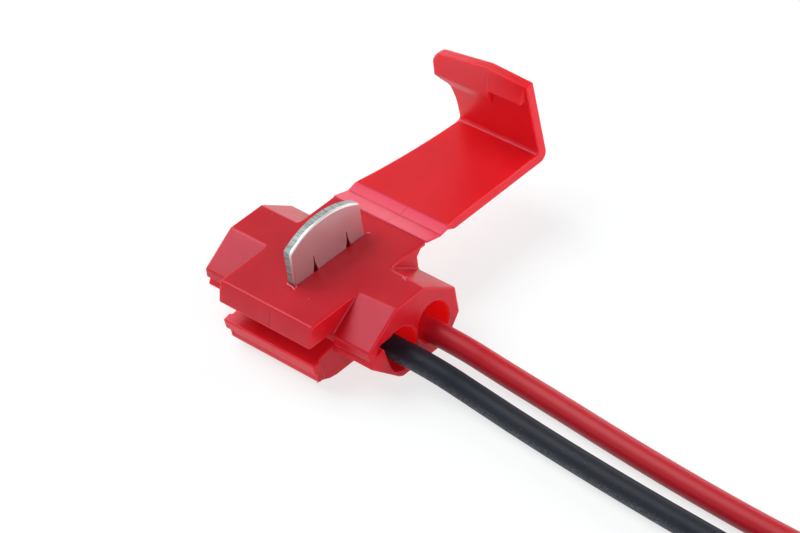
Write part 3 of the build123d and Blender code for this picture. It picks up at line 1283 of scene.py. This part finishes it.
@dataclass
class Wire:
    """An insulated wire: its end in the bore, its free run and its stripped strands."""

    name: str
    finish: str
    slot: str
    route: list[Triple]
    length_mm: float
    diameter_mm: float = 2.35
    core_mm: float = 1.25
    strand_mm: float = 0.25
    strand_swell: float = 1.04
    outer_count: int = 12
    inner_count: int = 7
    lay_turns: float = 0.45
    bare_mm: float = 4.95
    hidden_mm: float = 0.6
    run_steps: int = 24
    bevel_steps: int = 12

    def run(self, materials: dict[str, bpy.types.Material]) -> bpy.types.Object:
        """The free run as a smooth curve.

        Args:
            materials: the materials by finish.

        Returns:
            The curve, which replaces the solid tube.
        """
        curve = bpy.data.curves.new(self.name + "_lead", "CURVE")
        curve.dimensions = "3D"
        spline = curve.splines.new("NURBS")
        spline.points.add(len(self.route) - 1)
        for point, place in zip(spline.points, self.route):
            point.co = (*(v * MM for v in place), 1)
        spline.order_u = 3
        spline.use_endpoint_u = True
        spline.resolution_u = self.run_steps
        curve.bevel_depth = self.diameter_mm / 2 * MM
        curve.bevel_resolution = self.bevel_steps
        curve.use_fill_caps = True
        lead = new_object(self.name + "_lead", curve)
        curve.materials.append(materials[self.finish])
        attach(lead, "housing")
        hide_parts(self.name)
        return lead

    def strands(
        self, materials: dict[str, bpy.types.Material], tree: bpy.types.NodeTree
    ) -> bpy.types.Object:
        """The twisted bare strands past the insulation.

        Args:
            materials: the materials by finish.
            tree: the geometry nodes that lay up strands.

        Returns:
            The strands as one mesh, which replaces the solid core.
        """
        name = self.name + "_bare_strands"
        piece = new_object(name, bpy.data.meshes.new(name))
        lay_up = piece.modifiers.new("lay_up", "NODES")
        lay_up.node_group = tree
        strand = self.strand_mm / 2 * MM
        values = {
            "Length": (self.bare_mm + self.hidden_mm) * MM,
            "Outer Radius": self.core_mm / 2 * MM - strand,
            "Inner Radius": self.core_mm / 2 * MM - 3 * strand,
            "Strand Radius": strand * self.strand_swell,
            "Outer Count": self.outer_count,
            "Inner Count": self.inner_count,
            "Turns": self.lay_turns,
            "Metal": materials["copper"],
        }
        for item in tree.interface.items_tree:
            if item.name in values and item.in_out == "INPUT":
                lay_up[item.identifier] = values[item.name]
        settled(piece)
        tip, before = (Vector(point) * MM for point in (self.route[-1], self.route[-2]))
        along = (tip - before).normalized()
        turn = along.to_track_quat("Z", "Y").to_matrix().to_4x4()
        piece.data.transform(Matrix.Translation(tip - along * self.hidden_mm * MM) @ turn)
        smooth_faces(piece)
        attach(piece, "housing")
        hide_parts(self.name + "_strands")
        return piece

    def dress(self, materials: dict[str, bpy.types.Material], tree: bpy.types.NodeTree) -> None:
        """Args:
            materials: the materials by finish.
            tree: the geometry nodes that lay up strands.
        """
        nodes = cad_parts
        paint(nodes[self.name + "_end"], materials[self.finish])
        core = nodes[self.name.replace("wire", "core") + "_end"]
        paint(core, materials["copper"])
        strands = self.strands(materials, tree)
        lead = self.run(materials)
        LOG.info("%s: lead of %.1f mm", self.name, self.length_mm)


# Studio


@dataclass(frozen=True)
class SoftLamp:
    """A square soft lamp that faces the object."""

    name: str
    toward: Triple
    distance_m: float
    size_m: float
    power_w: float

    def build(self) -> None:
        """Hangs the lamp."""
        data = bpy.data.lights.new(self.name, "AREA")
        data.size = self.size_m
        data.energy = self.power_w
        lamp = new_object(self.name, data)
        direction = Vector(self.toward).normalized()
        lamp.location = direction * self.distance_m
        lamp.rotation_mode = "QUATERNION"
        lamp.rotation_quaternion = direction.to_track_quat("Z", "Y")


@dataclass(frozen=True)
class Studio:
    """Floor, lamps, backdrop and camera."""

    lamps: tuple[SoftLamp, ...]
    azimuth_deg: float = 47.85
    elevation_deg: float = 38.75
    roll_deg: float = -8.06
    distance_mm: float = 282.28
    right_mm: float = 6.91
    up_mm: float = -0.82
    aim_height_mm: float = 7.55
    lens_mm: float = 135.0
    sensor_mm: float = 36.0
    clip_m: Pair = (0.01, 10.0)
    floor_half_m: float = 1.5
    floor_color: Triple = (0.86, 0.86, 0.87)
    floor_seen: Triple = (0.308, 0.33, 0.33)
    floor_lift: float = 0.7
    room_color: Triple = (0.1, 0.1, 0.11)
    room_fade: Pair = (0.26, 0.55)

    def camera(self) -> None:
        """Places the camera at the photograph's angle."""
        azimuth = math.radians(self.azimuth_deg)
        elevation = math.radians(self.elevation_deg)
        roll = math.radians(self.roll_deg)
        level = math.cos(elevation)
        back = Vector((math.sin(azimuth) * level, -math.cos(azimuth) * level, math.sin(elevation)))
        flat_right = Vector((math.cos(azimuth), math.sin(azimuth), 0))
        flat_up = back.cross(flat_right)
        right = flat_right * math.cos(roll) + flat_up * math.sin(roll)
        up = flat_up * math.cos(roll) - flat_right * math.sin(roll)
        place = back * self.distance_mm + right * self.right_mm + up * self.up_mm
        place.z += self.aim_height_mm
        turn = Matrix((right, up, back)).transposed().to_4x4()
        data = bpy.data.cameras.new("camera")
        data.lens = self.lens_mm
        data.sensor_width = self.sensor_mm
        data.clip_start, data.clip_end = self.clip_m
        camera = new_object("camera", data)
        camera.matrix_world = Matrix.Translation(place * MM) @ turn
        bpy.context.scene.camera = camera

    def floor(self) -> None:
        """A pale floor that keeps the shadow and reads as white paper."""
        half = self.floor_half_m
        mesh = bpy.data.meshes.new("floor")
        corners = [(-half, -half, 0), (half, -half, 0), (half, half, 0), (-half, half, 0)]
        mesh.from_pydata(corners, [], [(0, 1, 2, 3)])
        floor = new_object("floor", mesh)
        material = bpy.data.materials.new("white_paper")
        material.use_nodes = True
        g = NodeGraph(material.node_tree)
        paper = material.node_tree.nodes["Principled BSDF"].inputs
        constants = {"Roughness": 0.9, "Specular IOR Level": 0.1, "Emission Color": WHITE}
        for label, value in constants.items():
            paper[label].default_value = value
        path = g.add("LightPath").outputs
        seen = g.math("MAXIMUM", path["Is Camera Ray"], path["Is Glossy Ray"])
        color = g.mix(seen, (*self.floor_color, 1), (*self.floor_seen, 1))
        g.link(color, paper["Base Color"])
        g.link(g.times(seen, self.floor_lift), paper["Emission Strength"])
        paint(floor, material)

    def backdrop(self) -> None:
        """A white backdrop, with a dimmer room overhead for light and reflections."""
        world = bpy.data.worlds.new("studio")
        bpy.context.scene.world = world
        world.use_nodes = True
        world.node_tree.nodes.clear()
        g = NodeGraph(world.node_tree)
        height = g.axes(g.add("TexCoord").outputs["Generated"])["Z"]
        overhead = g.ramp(height, *self.room_fade, 0.0, 1.0)
        room = g.add("Background")
        g.link(g.mix(overhead, WHITE, (*self.room_color, 1)), room.inputs["Color"])
        paper = g.add("Background")
        g.link(WHITE, paper.inputs["Color"])
        blend = g.add("MixShader")
        parts = (g.add("LightPath").outputs["Is Camera Ray"], room.outputs[0], paper.outputs[0])
        for part, socket in zip(parts, blend.inputs):
            g.link(part, socket)
        g.link(blend.outputs[0], g.add("OutputWorld").inputs["Surface"])

    def build(self) -> None:
        """Sets up the whole studio."""
        self.floor()
        self.backdrop()
        for lamp in self.lamps:
            lamp.build()
        self.camera()
        bpy.context.scene.view_settings.view_transform = "Standard"
        LOG.info("studio: %d lamps", len(self.lamps))


# The connector


MOULDED_PARTS = [
    MouldedPart(
        node="housing_body",
        body="housing",
        slot="red_polypropylene",
        finish="housing",
        rounds=(
            EdgeRound(0.03, (-6.1, 5.9, 4.9), (6.1, 7.3, 7.2)),
            EdgeRound(0.03, (-6.1, 7.1, 4.9), (6.1, 7.3, 7.6)),
            EdgeRound(0.06, (-11.1, -6.0, 3.9), (11.1, -3.0, 4.3)),
            EdgeRound(0.0, (-3.0, -5.5, 0.3), (3.0, 5.5, 7.4)),
            EdgeRound(0.02, (-0.7, -4.9, 7.5), (0.7, 4.9, 7.6)),
        ),
    ),
    MouldedPart(
        node="clamp_jaw",
        body="jaw",
        slot="red_polypropylene",
        finish="jaw",
        edge_mm=0.16,
        rounds=(
            EdgeRound(0.05, (-11.1, -5.5, 0.2), (11.1, 0.1, 4.6)),
            EdgeRound(0.05, (-11.1, -5.9, 3.0), (11.1, -4.0, 4.5)),
            EdgeRound(0.04, (-5.8, -8.7, 0.8), (5.8, -8.3, 2.05)),
            EdgeRound(0.0, (-0.8, -5.4, 0.3), (0.8, 0.1, 4.6)),
        ),
    ),
    MouldedPart(
        node="folding_cover",
        body="cover",
        slot="red_polypropylene",
        finish="cover",
        edge_mm=0.16,
        rounds=(
            EdgeRound(0.05, (-6.3, 7.2, 6.3), (6.2, 10.9, 7.6)),
            EdgeRound(0.42, (-6.7, 22.0, 14.2), (-5.9, 26.0, 15.1)),
            EdgeRound(0.3, (-6.7, 22.0, 11.9), (-5.2, 26.0, 12.4)),
        ),
    ),
]

WEBS = [
    HingeWeb(
        name="cover_web",
        fixed="housing",
        moving="cover",
        y_mm=(7.1, 7.44),
        top_mm=(7.5, 7.46),
        bottom_mm=(7.12, 7.22),
        x_mm=(-6.0, 5.95),
        bend_mm=((0, 7.1, 7.4), (0, 7.5, 7.4)),
    ),
    HingeWeb(
        name="jaw_web",
        fixed="housing",
        moving="jaw",
        y_mm=(0.05, -0.3),
        top_mm=(0.17, 0.17),
        bottom_mm=(0.02, 0.02),
        x_mm=(-10.6, 10.6),
        bend_mm=((0, 0.0, 0.1), (0, -0.26, 0.1)),
    ),
]

BLEMISHES = [
    MouldingBlemish(
        "gate_mark_long",
        [
            (7.7, 2.17, 7.54), (7.9, 2.1, 7.57), (8.15, 2.02, 7.6),
            (8.35, 1.92, 7.56), (8.53, 1.84, 7.54),
        ],
        thick_mm=0.13,
        seed=3,
    ),
    MouldingBlemish(
        "gate_mark_short",
        [
            (8.0, 1.78, 7.54), (8.06, 1.92, 7.58), (8.12, 2.06, 7.61),
            (8.2, 2.22, 7.56), (8.28, 2.34, 7.54),
        ],
        thick_mm=0.1,
        seed=5,
    ),
    MouldingBlemish(
        "speck_near",
        [(2.8, -5.42, 7.54), (2.87, -5.35, 7.57), (2.96, -5.3, 7.55)],
        thick_mm=0.14,
        seed=7,
    ),
    MouldingBlemish(
        "speck_left",
        [(-9.12, 1.74, 7.53), (-9.05, 1.78, 7.56), (-8.96, 1.82, 7.54)],
        thick_mm=0.12,
        seed=9,
    ),
    MouldingBlemish(
        "slot_burr_near",
        [
            (-0.5, -4.86, 7.54), (-0.3, -4.98, 7.6), (0.0, -5.05, 7.62),
            (0.3, -5.02, 7.6), (0.62, -5.1, 7.58), (0.9, -5.2, 7.54),
        ],
        thick_mm=0.17,
        seed=11,
    ),
    MouldingBlemish(
        "slot_burr_side",
        [(0.5, -4.78, 7.54), (0.62, -4.7, 7.6), (0.72, -4.85, 7.62), (0.8, -5.02, 7.56)],
        thick_mm=0.14,
        seed=13,
    ),
    MouldingBlemish(
        "slot_burr_far",
        [(0.5, 4.9, 7.54), (0.66, 4.96, 7.6), (0.8, 5.04, 7.6), (0.95, 5.12, 7.54)],
        thick_mm=0.15,
        seed=17,
    ),
]

WIRES = [
    Wire(
        name="red_wire",
        finish="red_wire",
        slot="red_insulation",
        route=[
            (11, 2.09, 2.49),
            (14.6, 2.09, 2.49),
            (19.8, 2.3, 1.5),
            (26.5, 2.0, 1.215),
            (34.9, 1.25, 1.215),
            (44.0, 0.66, 1.215),
            (53.5, 0.35, 1.215),
            (64.5, 0.5, 1.215),
        ],
        length_mm=53.6,
    ),
    Wire(
        name="black_wire",
        finish="black_wire",
        slot="black_insulation",
        route=[
            (11, -1.78, 2.5),
            (14.6, -1.78, 2.5),
            (19.8, -1.62, 1.5),
            (26.5, -2.1, 1.215),
            (34.9, -2.73, 1.215),
            (44.0, -3.2, 1.215),
            (53.5, -3.5, 1.215),
            (64.0, -3.4, 1.215),
        ],
        length_mm=53.1,
    ),
]

STUDIO = Studio(
    lamps=(
        SoftLamp("key_softbox", (-0.6, -0.08, 0.79), distance_m=0.5, size_m=0.4, power_w=2.1),
        SoftLamp("low_softbox", (-0.58, 0.78, 0.22), distance_m=0.55, size_m=0.3, power_w=0.33),
        SoftLamp("fill_softbox", (0.84, -0.36, 0.4), distance_m=0.6, size_m=0.5, power_w=1.15),
        SoftLamp("side_softbox", (0.62, 0.7, 0.36), distance_m=0.6, size_m=0.4, power_w=1.45),
    )
)


def main() -> None:
    """Builds every piece and the studio."""
    logging.basicConfig(level=logging.INFO)
    surfaces = (MouldedSurface(), ScuffedInsulation(), StampedPlate())
    groups = {surface.name: surface.tree() for surface in surfaces}
    materials = {key: finish.material(groups) for key, finish in FINISHES.items()}
    for part in (*MOULDED_PARTS, ContactBlade(), *WEBS, *BLEMISHES):
        piece = part.build(materials)
        LOG.info("%s: %d faces", piece.name, len(piece.data.polygons))
    lay_up = StrandLayUp().tree()
    for wire in WIRES:
        wire.dress(materials, lay_up)
    STUDIO.build()


if __name__ == "__main__":
    main()
